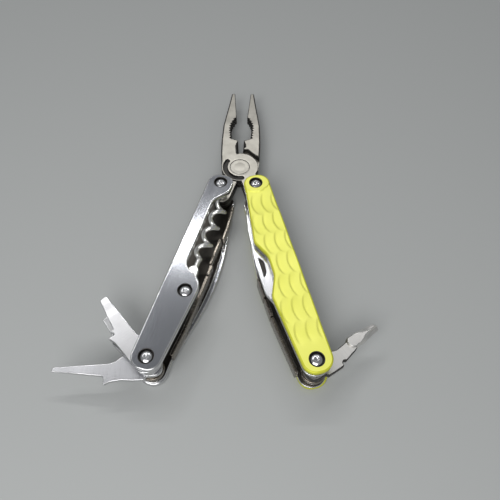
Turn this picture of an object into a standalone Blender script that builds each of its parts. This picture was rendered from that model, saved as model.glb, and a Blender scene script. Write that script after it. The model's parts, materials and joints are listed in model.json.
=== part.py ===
# A butterfly multi tool, opened: pliers whose two handles carry six folding tools.
# Lengths below are millimetres and angles are degrees. Blender's scene is in metres.
# The pliers lie flat, their pivot pin stands along Z and their jaws point along +Y.
# Each handle has its own frame: x runs from its front rivet to its end rivet.

import math

import bmesh
import bpy
from mathutils import Vector

# Driving dimensions
mm = 0.001
thickness = 17.0
rivetSpan = 74.6  # from a handle's front rivet to its end rivet
pivotHalf = 5.7  # half the distance between the front rivets with the jaws shut
pivotDrop = 16.2  # from the pliers' pin back to the front rivets
pliersLean = -1.2  # the pliers' own axis, turned from +Y
jawOpening = 4.35  # how far each jaw stands open at rest
leftHandleTurn = -106.67  # direction of the left handle's x axis
rightHandleTurn = -75.38
gap = 0.3  # between pieces that would touch

plateThick = 2.0
scaleThick = 1.9
linerThick = 0.8
plateRound = 0.4

jawLow, jawHigh = 4.1, 8.5
lapMiddle = (jawLow + jawHigh) / 2
pinRadius = 4.0
discRadius = 7.8
jawTip = 46.8
bladeFoot = -1.3  # where a blade's own outline ends, inside the disc

shaftRadius = 1.25
shaftHole = shaftRadius + gap
headRadius = 1.95
headThick = 0.85
sinkRadius = 2.4
sinkDepth = 1.25
headRecess = 0.08
dimpleDepth = 0.2
footThick = 0.5

middleRivet = (49.0, 3.5)
tangRadius = 4.2
hubRadius = 1.9
spacerRadius = 2.4
washerSplit = 5.7
frontRailHigh = 7.4
shortSpringHigh = 9.4

# Heights of each folding tool: underside and top
canOpenerZ = (12.4, 14.4)
smallDriverZ = (10.6, 12.1)
flatDriverZ = (8.8, 10.3)
phillipsZ = (8.9, 11.3)
phillipsHeadZ = (8.9, 11.9)
knifeZ = (12.2, 13.7)
hubZ = (9.7, 13.8)
coilZ = 11.75

# Rest angle of each tool, counted open from its folded place in the handle
canOpenerTurn = 55.5
smallDriverTurn = 63.7
flatDriverTurn = 110.0
phillipsTurn = 71.5


# Materials


def makeMaterial(name, colour, roughness, metallic):
    material = bpy.data.materials.new(name)
    material.use_nodes = True
    shader = material.node_tree.nodes["Principled BSDF"]
    shader.inputs["Base Color"].default_value = (*colour, 1.0)
    shader.inputs["Roughness"].default_value = roughness
    shader.inputs["Metallic"].default_value = metallic
    material.diffuse_color = (*colour, 1.0)
    return material


def makeAllMaterials():
    return {
        "jaw steel": makeMaterial("jaw steel", (0.60, 0.58, 0.54), 0.38, 1.0),
        "plate steel": makeMaterial("plate steel", (0.38, 0.39, 0.41), 0.34, 1.0),
        "blade steel": makeMaterial("blade steel", (0.66, 0.66, 0.67), 0.25, 1.0),
        "spring steel": makeMaterial("spring steel", (0.45, 0.43, 0.41), 0.30, 1.0),
        "rivet steel": makeMaterial("rivet steel", (0.72, 0.72, 0.74), 0.12, 1.0),
        "yellow scale": makeMaterial("yellow scale", (0.79, 0.80, 0.20), 0.42, 0.6),
    }


# Outlines: lists of (x, y) in millimetres, counter-clockwise


def arcPoints(x, y, radius, start, stop, steps):
    """Points along an arc about (x, y), from one angle to the other."""
    points = []
    for step in range(steps + 1):
        angle = math.radians(start + (stop - start) * step / steps)
        points.append((x + radius * math.cos(angle), y + radius * math.sin(angle)))
    return points


def circle(x, y, radius, steps=24, start=0):
    return arcPoints(x, y, radius, start, start + 360, steps)[:-1]


def slot(x0, y0, x1, y1, halfWidth, steps=10):
    """A straight slot with round ends."""
    along = math.degrees(math.atan2(y1 - y0, x1 - x0))
    near = arcPoints(x0, y0, halfWidth, along + 90, along + 270, steps)
    far = arcPoints(x1, y1, halfWidth, along - 90, along + 90, steps)
    return near + far


def arcSlot(radius, halfWidth, start, stop, steps=14):
    """A slot that follows an arc about the origin, with round ends."""
    outer = arcPoints(0, 0, radius + halfWidth, start, stop, steps)
    inner = arcPoints(0, 0, radius - halfWidth, stop, start, steps)
    ends = []
    for angle, turn in ((stop, 0), (start, 180)):
        x = radius * math.cos(math.radians(angle))
        y = radius * math.sin(math.radians(angle))
        ends.append(arcPoints(x, y, halfWidth, angle + turn, angle + turn + 180, 6)[1:-1])
    return outer + ends[0] + inner + ends[1]


def filleted(corners):
    """A polygon whose corners (x, y, radius) are rounded by arcs that touch both sides."""
    points = []
    count = len(corners)
    for index, (x, y, radius) in enumerate(corners):
        here = Vector((x, y))
        back = Vector(corners[index - 1][:2]) - here
        ahead = Vector(corners[(index + 1) % count][:2]) - here
        angle = back.angle(ahead)
        if radius == 0 or angle > math.radians(179):
            points.append((x, y))
            continue
        reach = radius / math.tan(angle / 2)
        reach = min(reach, 0.49 * back.length, 0.49 * ahead.length)
        radius = reach * math.tan(angle / 2)
        middle = (back.normalized() + ahead.normalized()).normalized()
        centre = here + middle * (radius / math.sin(angle / 2))
        start = here + back.normalized() * reach - centre
        stop = here + ahead.normalized() * reach - centre
        first = math.atan2(start.y, start.x)
        sweep = (math.atan2(stop.y, stop.x) - first + math.pi) % (2 * math.pi) - math.pi
        steps = max(1, round(abs(math.degrees(sweep)) / 16))
        last = first + sweep
        points += arcPoints(*centre, radius, math.degrees(first), math.degrees(last), steps)
    return points


def mirrored(outline):
    """The outline with x turned to -x, still counter-clockwise."""
    return [(-x, y) for x, y in reversed(outline)]


# Solids


def setParent(obj, parent):
    obj.parent = parent
    return obj


def meshObject(name, bm, parent, material=None):
    bmesh.ops.recalc_face_normals(bm, faces=bm.faces)
    mesh = bpy.data.meshes.new(name)
    bm.to_mesh(mesh)
    bm.free()
    mesh.shade_smooth()
    mesh.set_sharp_from_angle(angle=math.radians(35))
    obj = bpy.data.objects.new(name, mesh)
    bpy.context.scene.collection.objects.link(obj)
    if material:
        mesh.materials.append(material)
    return setParent(obj, parent)


def makeFrame(name, x, y, turn, parent=None):
    """An empty that carries pieces, placed on the axis they turn about."""
    frame = bpy.data.objects.new(name, None)
    bpy.context.scene.collection.objects.link(frame)
    frame.location = (x * mm, y * mm, 0)
    frame.rotation_euler = (0, 0, math.radians(turn))
    frame.empty_display_size = 5 * mm
    return setParent(frame, parent)


def inset(outline, distance):
    """The outline moved inwards by a distance, along the line that halves each corner."""
    points = []
    for index, point in enumerate(outline):
        here = Vector(point)
        back = (here - Vector(outline[index - 1])).normalized()
        ahead = (Vector(outline[(index + 1) % len(outline)]) - here).normalized()
        inwards = Vector((-(back + ahead).y, (back + ahead).x)).normalized()
        stretch = 1 / max(0.5, inwards.dot(Vector((-ahead.y, ahead.x))))
        points.append(tuple(here + inwards * distance * stretch))
    return points


def prism(name, outline, low, high, parent, material=None, holes=(), edge=0.0):
    """The outline raised from low to high, with round holes (x, y, radius) and rounded rims."""
    layers = [(low, 0), (high, 0)]
    if edge:
        shoulder = 0.3 * edge
        lower = [(low, edge), (low + shoulder, shoulder), (low + edge, 0)]
        layers = lower + [(high + low - z, step) for z, step in reversed(lower)]
    bm = bmesh.new()
    rings = []
    for z, step in layers:
        loops = [inset(outline, step) if step else outline]
        loops += [circle(*hole, steps=20) for hole in holes]
        rings.append([[bm.verts.new((x * mm, y * mm, z * mm)) for x, y in loop] for loop in loops])
    for below, above in zip(rings, rings[1:]):
        for lowRing, highRing in zip(below, above):
            for index in range(len(lowRing)):
                corners = [lowRing[index - 1], lowRing[index], highRing[index], highRing[index - 1]]
                bm.faces.new(corners)
    for cap in (rings[0], rings[-1]):
        rim = [bm.edges.get((ring[index - 1], ring[index])) for ring in cap for index in range(len(ring))]
        bmesh.ops.triangle_fill(bm, use_beauty=True, use_dissolve=False, edges=rim)
    return meshObject(name, bm, parent, material)


def turned(name, profile, x, y, parent, material=None, steps=20):
    """A turned solid: profile lists (radius, z) from the axis below to the axis above."""
    bm = bmesh.new()
    rings = []
    for radius, z in profile:
        if radius == 0:
            rings.append([bm.verts.new((x * mm, y * mm, z * mm))])
            continue
        ring = [bm.verts.new((px * mm, py * mm, z * mm)) for px, py in circle(x, y, radius, steps)]
        rings.append(ring)
    for below, above in zip(rings, rings[1:]):
        for index in range(steps):
            corners = [below[index - 1], below[index]] if len(below) > 1 else [below[0]]
            corners += [above[index], above[index - 1]] if len(above) > 1 else [above[0]]
            bm.faces.new(corners)
    return meshObject(name, bm, parent, material)


def tube(name, path, radii, parent, sides=8):
    """A round bar along a path of (x, y, z), with its own radius at each point."""
    bm = bmesh.new()
    rings = []
    side = Vector((0, 0, 1))
    for index, point in enumerate(path):
        ahead = Vector(path[min(index + 1, len(path) - 1)]) - Vector(path[max(index - 1, 0)])
        ahead.normalize()
        side = (side - ahead * side.dot(ahead)).normalized()
        across = ahead.cross(side)
        ring = []
        for step in range(sides):
            angle = 2 * math.pi * step / sides
            reach = (side * math.cos(angle) + across * math.sin(angle)) * radii[index]
            ring.append(bm.verts.new((Vector(point) + reach) * mm))
        rings.append(ring)
    for below, above in zip(rings, rings[1:]):
        for step in range(sides):
            bm.faces.new([below[step - 1], below[step], above[step], above[step - 1]])
    bm.faces.new(reversed(rings[0]))
    bm.faces.new(rings[-1])
    return meshObject(name, bm, parent)


def wedge(name, low, high, parent):
    """A box between two rectangles (x0, x1, z0, z1), one at each of two y places."""
    bm = bmesh.new()
    rings = []
    for y, x0, x1, z0, z1 in (low, high):
        corners = ((x0, z0), (x1, z0), (x1, z1), (x0, z1))
        rings.append([bm.verts.new((x * mm, y * mm, z * mm)) for x, z in corners])
    for index in range(4):
        bm.faces.new([rings[0][index - 1], rings[0][index], rings[1][index], rings[1][index - 1]])
    bm.faces.new(rings[0])
    bm.faces.new(rings[1])
    return meshObject(name, bm, parent)


def combine(target, helper, operation):
    """Joins a hidden helper to the target, or cuts it away."""
    helper.hide_render = True
    helper.display_type = "WIRE"
    modifier = target.modifiers.new(helper.name, "BOOLEAN")
    modifier.operation = operation
    modifier.solver = "EXACT"
    modifier.object = helper


def cut(target, helper):
    combine(target, helper, "DIFFERENCE")


def join(target, helper):
    combine(target, helper, "UNION")


def makeRing(name, x, y, outer, low, high, parent, material):
    return prism(name, circle(x, y, outer), low, high, parent, material, holes=[(x, y, shaftHole)])


# Rivets and the wells that their heads sit in


def drillForRivets(plate, places, upper):
    """Cuts each rivet's hole through a plate, with a round well in the outer face for the head."""
    past, through = 1.0, 3.0
    for index, (x, y) in enumerate(places):
        well = [(0, -past), (sinkRadius, -past), (sinkRadius, sinkDepth)]
        profile = well + [(shaftHole, sinkDepth), (shaftHole, through), (0, through)]
        if upper:
            profile = [(radius, thickness - z) for radius, z in reversed(profile)]
        cut(plate, turned(f"{plate.name} drill {index}", profile, x, y, plate.parent))


def makeRivet(name, x, y, foot, parent, material):
    """A rivet with a domed and dimpled head at the top. A foot of None gives it the same head below."""
    crown = thickness - headRecess
    neck = crown - headThick
    head = [
        (shaftRadius, neck),
        (headRadius, neck),
        (headRadius, neck + 0.35 * headThick),
        (0.8 * headRadius, crown - 0.12),
        (0.35 * headRadius, crown),
        (0.22 * headRadius, crown - dimpleDepth),
        (0, crown - dimpleDepth),
    ]
    if foot is None:
        tail = [(radius, thickness - z) for radius, z in reversed(head)]
    else:
        flange = foot + footThick
        tail = [(0, foot), (headRadius, foot), (headRadius, flange), (shaftRadius, flange)]
    return turned(name, tail + head, x, y, parent, material)


# The pliers


def gripProfile():
    """The inner edge of a jaw, from the cutter to the tip: a scooped, toothed grip and a flat nose."""
    face = gap / 2
    cutterTop, scoopLow, scoopHigh = 15.4, 16.6, 30.0
    scoopDepth, toothDepth, teeth = 2.7, 0.5, 9
    points = [(-face, bladeFoot), (-face, cutterTop)]
    for step in range(2 * teeth + 1):
        share = step / (2 * teeth)
        y = scoopLow + (scoopHigh - scoopLow) * share
        scoop = scoopDepth * math.sin(math.pi / 2 * min(1, (1 - share) / 0.55)) ** 0.9
        tooth = toothDepth * (step % 2)
        points.append((-face - scoop - tooth, y))
    points.append((-face, jawTip))
    return points


def makeJaw(name, side, frame, material):
    """One jaw with its half of the lap joint and its tang. side is -1 for the left jaw, else 1."""
    flank = [(-1.7, jawTip), (-3.0, 40.5), (-6.3, 25.3), (-7.4, 15.6), (-7.8, 8.0)]
    flank.append((-7.4, bladeFoot))
    blade = gripProfile() + flank
    disc = circle(0, 0, discRadius, steps=36)
    tang = slot(2.0, 0, pivotHalf, -pivotDrop, 3.5)
    # The other jaw's blade ends at a slanted shoulder, and the rest of its edge follows the disc.
    slant = [(-2.4, 10.3, 0.3), (-9.6, 4.0, 0.3)]
    shoulder = filleted([(8.1, 8.1, 8.0), *slant, (-8.1, -8.1, 8.0), (8.1, -8.1, 8.0)])
    if side > 0:
        blade, disc, tang = mirrored(blade), mirrored(disc), mirrored(tang)
        shoulder = mirrored(shoulder)
    if side < 0:
        other = (jawLow - 1, lapMiddle + gap / 2)
    else:
        other = (lapMiddle - gap / 2, jawHigh + 1)
    through = (jawLow - 1, jawHigh + 1)
    jaw = prism(name, blade, jawLow, jawHigh, frame, material)
    join(jaw, prism(f"{name} tang", tang, jawLow, jawHigh, frame))
    join(jaw, prism(f"{name} disc", disc, jawLow, jawHigh, frame))
    cut(jaw, prism(f"{name} lap", shoulder, *other, frame))
    cut(jaw, prism(f"{name} pin hole", circle(0, 0, pinRadius + gap, 32, 3), *through, frame))
    rivetPlace = circle(-side * pivotHalf, -pivotDrop, shaftHole, 20)
    cut(jaw, prism(f"{name} rivet hole", rivetPlace, *through, frame))
    taperStart, noseThin, wide, past = 26.0, 0.8, 12.0, 2.0
    for label, face, out in (("top", jawHigh, 1), ("bottom", jawLow, -1)):
        near = sorted((face, face + out * past))
        far = sorted((face - out * noseThin, face + out * past))
        helper = wedge(
            f"{name} {label} taper",
            (taperStart, -wide, wide, *near),
            (jawTip + 1, -wide, wide, *far),
            frame,
        )
        cut(jaw, helper)
    return jaw


def makePliers(root, materials):
    """Both jaws and the pin, each jaw turned open about the pin. Returns the two jaws' frames."""
    leftFrame = makeFrame("left jaw frame", 0, 0, pliersLean + jawOpening, root)
    rightFrame = makeFrame("right jaw frame", 0, 0, pliersLean - jawOpening, root)
    left = makeJaw("left_jaw", -1, leftFrame, materials["jaw steel"])
    makeJaw("right_jaw", 1, rightFrame, materials["jaw steel"])
    grooveDepth = 0.9
    groove = arcSlot(6.2, 0.95, 145, 275)
    cut(left, prism("stop groove", groove, jawHigh - grooveDepth, jawHigh + 1, leftFrame))
    pin = circle(0, 0, pinRadius, 32)
    prism("jaw_pivot_pin", pin, jawLow, jawHigh, leftFrame, materials["rivet steel"], edge=0.2)
    return leftFrame, rightFrame


# The left handle: bare steel plates


def bellyEdge(start, stop, base, rise, steps):
    """The gently bulging inner edge of a handle, a raised half wave from start to stop."""
    points = []
    for step in range(steps + 1):
        share = step / steps
        y = base + rise * math.sin(math.pi * share) ** 1.2
        points.append((start + (stop - start) * share, y, 0))
    return points


def leftPlateOutline(margin, rise):
    """A left handle plate with the full belly on its inner edge, drawn in by a margin."""
    front, end = -3.9 + margin, 79.1 - margin
    back, inner = -5.0 + margin, 4.9 - margin
    belly = bellyEdge(70.0, 1.0, inner, rise, 16)
    corners = [(front, back, 4.4), (end, back, 4.4), (end, inner, 4.4)]
    return filleted(corners + belly + [(front, inner, 4.2)])


def openPlateOutline():
    """The left handle's upper plate, whose inner edge is cut away over the corkscrew."""
    return filleted(
        [
            (-3.9, -5.0, 4.4),
            (79.1, -5.0, 4.4),
            (79.1, 5.0, 4.4),
            (44.3, 8.1, 3.6),
            (39.4, 0.1, 2.8),
            (9.2, 0.1, 3.4),
            (3.6, 4.9, 3.0),
            (-3.9, 4.9, 4.2),
        ]
    )


def rail(outline, name, low, high, frame, material):
    """A narrow bar seen on edge along the inner side of a handle, with barely rounded ends."""
    return prism(name, filleted([(x, y, 0.3) for x, y in outline]), low, high, frame, material)


def makeLeftHandle(frame, materials):
    steel, spring = materials["plate steel"], materials["spring steel"]
    rivet = materials["rivet steel"]
    front, end = (0, 0), (rivetSpan, 0)
    holes = [(*front, shaftHole), (*end, shaftHole)]
    top = thickness - plateThick
    upper = prism("left_upper_plate", openPlateOutline(), top, thickness, frame, steel, edge=plateRound)
    drillForRivets(upper, [front, middleRivet, end], True)
    cover = leftPlateOutline(0, 4.8)
    lower = prism("left_lower_plate", cover, 0, plateThick, frame, steel, edge=plateRound)
    drillForRivets(lower, [front, end], False)
    linerLow = plateThick + gap
    linerOutline = leftPlateOutline(0.3, 3.6)
    prism("left_liner", linerOutline, linerLow, linerLow + linerThick, frame, spring, holes)

    railLow = linerLow + linerThick + gap
    frontRail = [(3.0, 5.2), (11.0, 6.0), (19.4, 6.4), (19.2, 7.5), (11.0, 7.1), (3.0, 6.2)]
    coilRail = [(20.4, 5.6), (32.0, 5.6), (32.0, 6.7), (20.4, 6.7)]
    shortSpring = [(32.4, 6.2), (36.7, 6.2), (36.7, 7.4), (32.4, 7.4)]
    longSpring = [(37.2, 6.3), (60.0, 5.5), (69.4, 4.6), (69.4, 5.8), (60.0, 6.7), (37.2, 7.6)]
    rail(frontRail, "left_front_rail", railLow, frontRailHigh, frame, spring)
    rail(coilRail, "left_coil_rail", railLow, jawHigh, frame, spring)
    rail(shortSpring, "left_short_spring", railLow, jawHigh, frame, spring)
    rail(longSpring, "left_long_spring", railLow, jawHigh, frame, spring)

    lowWasher, highWasher = (railLow, washerSplit), (washerSplit + gap, jawHigh)
    upperSpacer, hubSpacer = (jawHigh + gap, top - gap), (hubZ[1] + gap, top - gap)
    makeRing("left_front_spacer", *front, spacerRadius, *upperSpacer, frame, rivet)
    makeRing("left_end_washer_low", *end, tangRadius, *lowWasher, frame, spring)
    makeRing("left_end_washer_high", *end, tangRadius - gap, *highWasher, frame, spring)
    makeRing("left_middle_spacer", *middleRivet, hubRadius, *hubSpacer, frame, rivet)
    makeRivet("left_front_rivet", *front, None, frame, rivet)
    makeRivet("left_middle_rivet", *middleRivet, hubZ[0] - gap - footThick, frame, rivet)
    makeRivet("left_end_rivet", *end, None, frame, rivet)


# The right handle: anodised scales over thin steel liners


def scaleOutline(outer, margin, notched):
    """A right handle scale, with or without the finger notch over the knife's nail nick."""
    if notched:
        inner = [(49.5, -7.6, 4.0), (41.6, -4.5, 7.0), (33.6, -4.5, 7.0), (26.5, -7.8, 4.0)]
    else:
        inner = [(50.0, -7.6, 20.0), (38.0, -8.6, 30.0), (26.0, -7.8, 20.0)]
    front, end = -4.0 + margin, 79.1 - margin
    inner = [(4.0, -4.9, 12.0), *reversed(inner)]
    inner = [(x, y + margin, radius) for x, y, radius in inner]
    ends = [(end, outer, 4.8), (front, outer, 4.6), (front, -4.5 + margin, 4.2)]
    return filleted([*ends, *inner, (end, -4.6 + margin, 4.4)])


def makeRightHandle(frame, materials):
    yellow, spring = materials["yellow scale"], materials["spring steel"]
    rivet = materials["rivet steel"]
    front, end = (0, 0), (rivetSpan, 0)
    holes = [(*front, shaftHole), (*end, shaftHole)]
    outer, linerOuter, linerMargin = 5.4, 4.4, -0.1
    top = thickness - scaleThick
    cover = scaleOutline(outer, 0, True)
    upper = prism("right_upper_scale", cover, top, thickness, frame, yellow, edge=plateRound)
    drillForRivets(upper, [front, end], True)
    cover = scaleOutline(outer, 0, False)
    lower = prism("right_lower_scale", cover, 0, scaleThick, frame, yellow, edge=plateRound)
    drillForRivets(lower, [front, end], False)
    upperLiner, lowerLiner = top - gap - linerThick, scaleThick + gap
    cover = scaleOutline(linerOuter, linerMargin, True)
    prism("right_upper_liner", cover, upperLiner, top - gap, frame, spring, holes)
    cover = scaleOutline(linerOuter, linerMargin, False)
    prism("right_lower_liner", cover, lowerLiner, lowerLiner + linerThick, frame, spring, holes)

    springLow = lowerLiner + linerThick + gap
    shortSpring = [(37.6, -9.6), (45.4, -9.3), (45.4, -8.0), (37.6, -8.2)]
    middleSpring = [(45.9, -9.2), (53.0, -8.9), (53.0, -7.6), (45.9, -7.9)]
    longSpring = [(53.5, -8.9), (74.6, -6.5), (74.6, -5.2), (53.5, -7.6)]
    rail(shortSpring, "right_short_spring", springLow, shortSpringHigh, frame, spring)
    rail(middleSpring, "right_middle_spring", springLow, jawHigh, frame, spring)
    rail(longSpring, "right_long_spring", springLow, jawHigh, frame, spring)

    lowWasher, highWasher = (springLow, washerSplit), (washerSplit + gap, phillipsZ[0] - gap)
    upperSpacer = (jawHigh + gap, upperLiner - gap)
    makeRing("right_front_spacer", *front, spacerRadius, *upperSpacer, frame, rivet)
    makeRing("right_end_washer_low", *end, tangRadius, *lowWasher, frame, spring)
    makeRing("right_end_washer_high", *end, tangRadius - gap, *highWasher, frame, spring)
    makeRivet("right_front_rivet", *front, None, frame, rivet)
    makeRivet("right_end_rivet", *end, None, frame, rivet)


# Folding tools. In a tool's frame its rivet is the origin and its tip points along +x.

pivotHole = [(0, 0, shaftHole)]


def makeCanOpener(frame, material):
    """A broad screwdriver blade with a hooked can opener on its edge."""
    outline = filleted(
        [
            (-4.3, -4.3, 4.1),
            (4.5, -4.0, 2.5),
            (9.8, -1.8, 3.0),
            (28.3, -1.25, 0.7),
            (28.2, 1.4, 0.9),
            (21.5, 2.4, 6.0),
            (15.6, 3.1, 0.5),
            (15.7, 4.5, 0.15),
            (13.8, 3.7, 0.3),
            (13.9, 6.3, 0.2),
            (11.3, 5.3, 1.5),
            (7.0, 5.0, 3.0),
            (-4.3, 4.6, 4.1),
        ]
    )
    return prism("can_opener", outline, *canOpenerZ, frame, material, pivotHole)


def makeSmallDriver(frame, material):
    """The shortest flat screwdriver."""
    outline = filleted(
        [
            (-4.2, -4.2, 4.0),
            (5.0, -3.8, 2.5),
            (9.0, -1.9, 3.0),
            (22.5, -1.0, 0.2),
            (22.6, 1.0, 0.2),
            (17.1, 2.1, 2.0),
            (14.6, 2.5, 0.8),
            (13.3, 4.3, 0.6),
            (10.5, 4.3, 1.5),
            (-4.2, 4.3, 4.0),
        ]
    )
    return prism("small_driver", outline, *smallDriverZ, frame, material, pivotHole)


def makeFlatDriver(frame, material):
    """A long tapering screwdriver with a spur on its edge and a square heel."""
    outline = filleted(
        [
            (-4.2, -4.2, 4.0),
            (5.0, -4.0, 2.0),
            (9.2, -2.8, 1.5),
            (11.4, -1.2, 2.0),
            (13.6, -0.6, 2.0),
            (31.7, -0.55, 0.2),
            (31.8, 0.85, 0.2),
            (15.6, 3.3, 0.5),
            (14.8, 3.9, 0.3),
            (14.6, 6.3, 0.2),
            (12.6, 5.4, 1.0),
            (9.0, 5.0, 2.0),
            (5.0, 5.4, 2.0),
            (1.6, 5.4, 0.6),
            (0.9, 4.3, 0.4),
            (-4.2, 4.2, 4.0),
        ]
    )
    return prism("flat_driver", outline, *flatDriverZ, frame, material, pivotHole)


def makePhillipsDriver(frame, material):
    """A cross-head screwdriver: a flat arm, a thicker flat-faced head, and the wings of the cross."""
    armOutline = filleted(
        [
            (-4.2, -4.3, 4.0),
            (1.4, -4.5, 0.5),
            (1.9, -5.3, 0.3),
            (8.0, -5.3, 0.3),
            (8.4, -4.5, 0.3),
            (10.2, -4.2, 0.8),
            (15.5, -2.9, 0.5),
            (15.5, 0.9, 0.5),
            (8.0, 0.2, 3.0),
            (5.5, 3.4, 3.0),
            (-4.2, 4.3, 4.1),
        ]
    )
    arm = prism("phillips_driver", armOutline, *phillipsZ, frame, material, pivotHole)
    headOutline = filleted(
        [
            (13.2, -3.1, 2.3),
            (18.8, -2.4, 1.0),
            (24.6, -0.3, 0.25),
            (24.6, 0.4, 0.25),
            (18.0, 1.75, 1.0),
            (13.2, 1.5, 2.3),
        ]
    )
    join(arm, prism("phillips head", headOutline, *phillipsHeadZ, frame))
    wingThick = 1.1
    wingLow = sum(phillipsHeadZ) / 2 - wingThick / 2
    wings = filleted([(17.0, -2.5, 0), (26.1, -1.7, 0.6), (26.1, 1.7, 0.6), (17.0, 1.8, 0)])
    join(arm, prism("phillips wings", wings, wingLow, wingLow + wingThick, frame))
    notch = circle(8.9, -4.6, 0.9)
    cut(arm, prism("phillips notch", notch, phillipsZ[0] - 1, phillipsZ[1] + 1, frame))
    return arm


def makeKnife(frame, material):
    """The knife blade, folded with its spine outwards, and the nick for a fingernail beside the spine."""
    outline = filleted(
        [
            (-4.3, -4.3, 4.1),
            (6.5, -4.3, 1.5),
            (7.5, -1.0, 1.0),
            (12.0, -0.6, 2.0),
            (50.0, -0.6, 20.0),
            (61.0, 2.0, 12.0),
            (66.0, 6.3, 0.2),
            (56.0, 8.0, 10.0),
            (40.0, 9.2, 14.0),
            (28.0, 8.9, 6.0),
            (20.0, 5.6, 6.0),
            (-4.3, 4.4, 4.1),
        ]
    )
    knife = prism("knife_blade", outline, *knifeZ, frame, material, pivotHole)
    nickDepth = 0.6
    nick = filleted([(33.6, 7.7, 0), (36.5, 6.2, 2.0), (40.5, 6.0, 2.0), (43.0, 7.7, 0)])
    cut(knife, prism("nail nick", nick, knifeZ[1] - nickDepth, knifeZ[1] + 1, frame))
    return knife


def makeCorkscrew(frame, material):
    """A right-handed worm on a flat tang. The origin is the middle rivet, x runs to the handle's end."""
    axisY, turnRadius, wire = -1.0, 2.05, 0.9
    pitch, start, wormEnd, shankEnd = 8.1, -45.0, -15.0, -7.0
    pointsPerTurn, tipStep = 14, 8
    steps = round((wormEnd - start) / pitch * pointsPerTurn)
    path, radii = [], []
    for step in range(steps + 1):
        angle = 2 * math.pi * step / pointsPerTurn
        x = start + (wormEnd - start) * step / steps
        reach = turnRadius * min(1.0, (wormEnd - x) / (0.5 * pitch))
        path.append((x, axisY - reach * math.sin(angle), coilZ + reach * math.cos(angle)))
        radii.append(wire * min(1.0, 0.3 + 0.7 * step / tipStep))
    path.append((shankEnd, axisY, coilZ))
    radii.append(wire)
    tang = slot(-10.0, axisY, 0, 0, hubRadius)
    corkscrew = prism("corkscrew", tang, *hubZ, frame, material, pivotHole)
    join(corkscrew, tube("corkscrew worm", path, radii, frame))
    return corkscrew


# Assembly


def clearScene():
    for obj in list(bpy.data.objects):
        bpy.data.objects.remove(obj)


def worldBounds():
    """The corners of the box round every visible solid."""
    bpy.context.view_layer.update()
    graph = bpy.context.evaluated_depsgraph_get()
    points = []
    for obj in bpy.context.scene.objects:
        if obj.type == "MESH" and not obj.hide_render:
            solid = obj.evaluated_get(graph)
            points += [solid.matrix_world @ vertex.co for vertex in solid.data.vertices]
    low = Vector(min(point[axis] for point in points) for axis in range(3))
    high = Vector(max(point[axis] for point in points) for axis in range(3))
    return low, high


def makeMultiTool():
    clearScene()
    materials = makeAllMaterials()
    blade = materials["blade steel"]
    root = makeFrame("tool frame", 0, 0, 0)
    leftJaw, rightJaw = makePliers(root, materials)

    # Each handle hangs on the other side's jaw, and its frame keeps its own direction in the world.
    leftTurn = leftHandleTurn - (pliersLean - jawOpening)
    rightTurn = rightHandleTurn - (pliersLean + jawOpening)
    leftHandle = makeFrame("left handle frame", -pivotHalf, -pivotDrop, leftTurn, rightJaw)
    rightHandle = makeFrame("right handle frame", pivotHalf, -pivotDrop, rightTurn, leftJaw)
    makeLeftHandle(leftHandle, materials)
    makeRightHandle(rightHandle, materials)

    # A folded tool points from its rivet back along the handle, and opening turns it outwards.
    folded, end = 180, (rivetSpan, 0)
    frame = makeFrame("can opener frame", *end, folded + canOpenerTurn, leftHandle)
    makeCanOpener(frame, blade)
    frame = makeFrame("small driver frame", *end, folded + smallDriverTurn, leftHandle)
    makeSmallDriver(frame, blade)
    frame = makeFrame("flat driver frame", *end, folded + flatDriverTurn, leftHandle)
    makeFlatDriver(frame, blade)
    makeCorkscrew(makeFrame("corkscrew frame", *middleRivet, 0, leftHandle), blade)
    frame = makeFrame("phillips frame", *end, folded - phillipsTurn, rightHandle)
    makePhillipsDriver(frame, blade)
    makeKnife(makeFrame("knife frame", *end, folded, rightHandle), blade)

    # The origin is the middle of the tool's footprint, on the surface that it lies on.
    low, high = worldBounds()
    root.location = (-(low.x + high.x) / 2, -(low.y + high.y) / 2, -low.z)
    bpy.context.view_layer.update()


makeMultiTool()
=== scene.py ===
# A butterfly multi tool lying open: pliers, six folding tools, a bare steel handle and a yellow one.
# Shapes are worked out in millimetres, in each piece's own place, and turned metres at the end.
import json
import math

import bmesh
import bpy
import numpy as np
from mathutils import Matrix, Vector
from mathutils.geometry import delaunay_2d_cdt


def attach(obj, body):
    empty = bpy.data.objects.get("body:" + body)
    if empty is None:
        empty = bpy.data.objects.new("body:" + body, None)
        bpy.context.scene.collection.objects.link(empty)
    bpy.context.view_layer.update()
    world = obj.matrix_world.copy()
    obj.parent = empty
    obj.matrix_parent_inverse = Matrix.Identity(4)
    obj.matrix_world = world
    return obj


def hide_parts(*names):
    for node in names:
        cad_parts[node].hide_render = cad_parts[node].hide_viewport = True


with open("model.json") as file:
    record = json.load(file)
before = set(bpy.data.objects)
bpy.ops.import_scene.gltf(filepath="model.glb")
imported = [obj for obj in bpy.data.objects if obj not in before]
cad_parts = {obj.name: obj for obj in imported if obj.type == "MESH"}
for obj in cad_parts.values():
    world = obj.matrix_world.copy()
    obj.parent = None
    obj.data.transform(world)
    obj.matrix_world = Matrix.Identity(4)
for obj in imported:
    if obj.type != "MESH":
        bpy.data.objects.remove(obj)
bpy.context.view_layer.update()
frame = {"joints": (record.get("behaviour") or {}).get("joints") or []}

mm = 0.001
thickness = 17.0  # through both handles
springTop = 8.5  # the springs and the jaws share this level
tau = 2 * math.pi

jointNamed = {joint["name"]: joint for joint in frame["joints"]}


def jointPlace(name):
    return np.array(jointNamed[name]["pos_m"][:2]) / mm


def folded(name):  # how far a tool stands open from its folded place, in degrees
    return -jointNamed[name]["range_deg"][0]


pinAt = jointPlace("jaw_pivot")
leftFront, leftEnd = jointPlace("left_handle_fold"), jointPlace("can_opener_fold")
rightFront, rightEnd = jointPlace("right_handle_fold"), jointPlace("phillips_fold")


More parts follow.
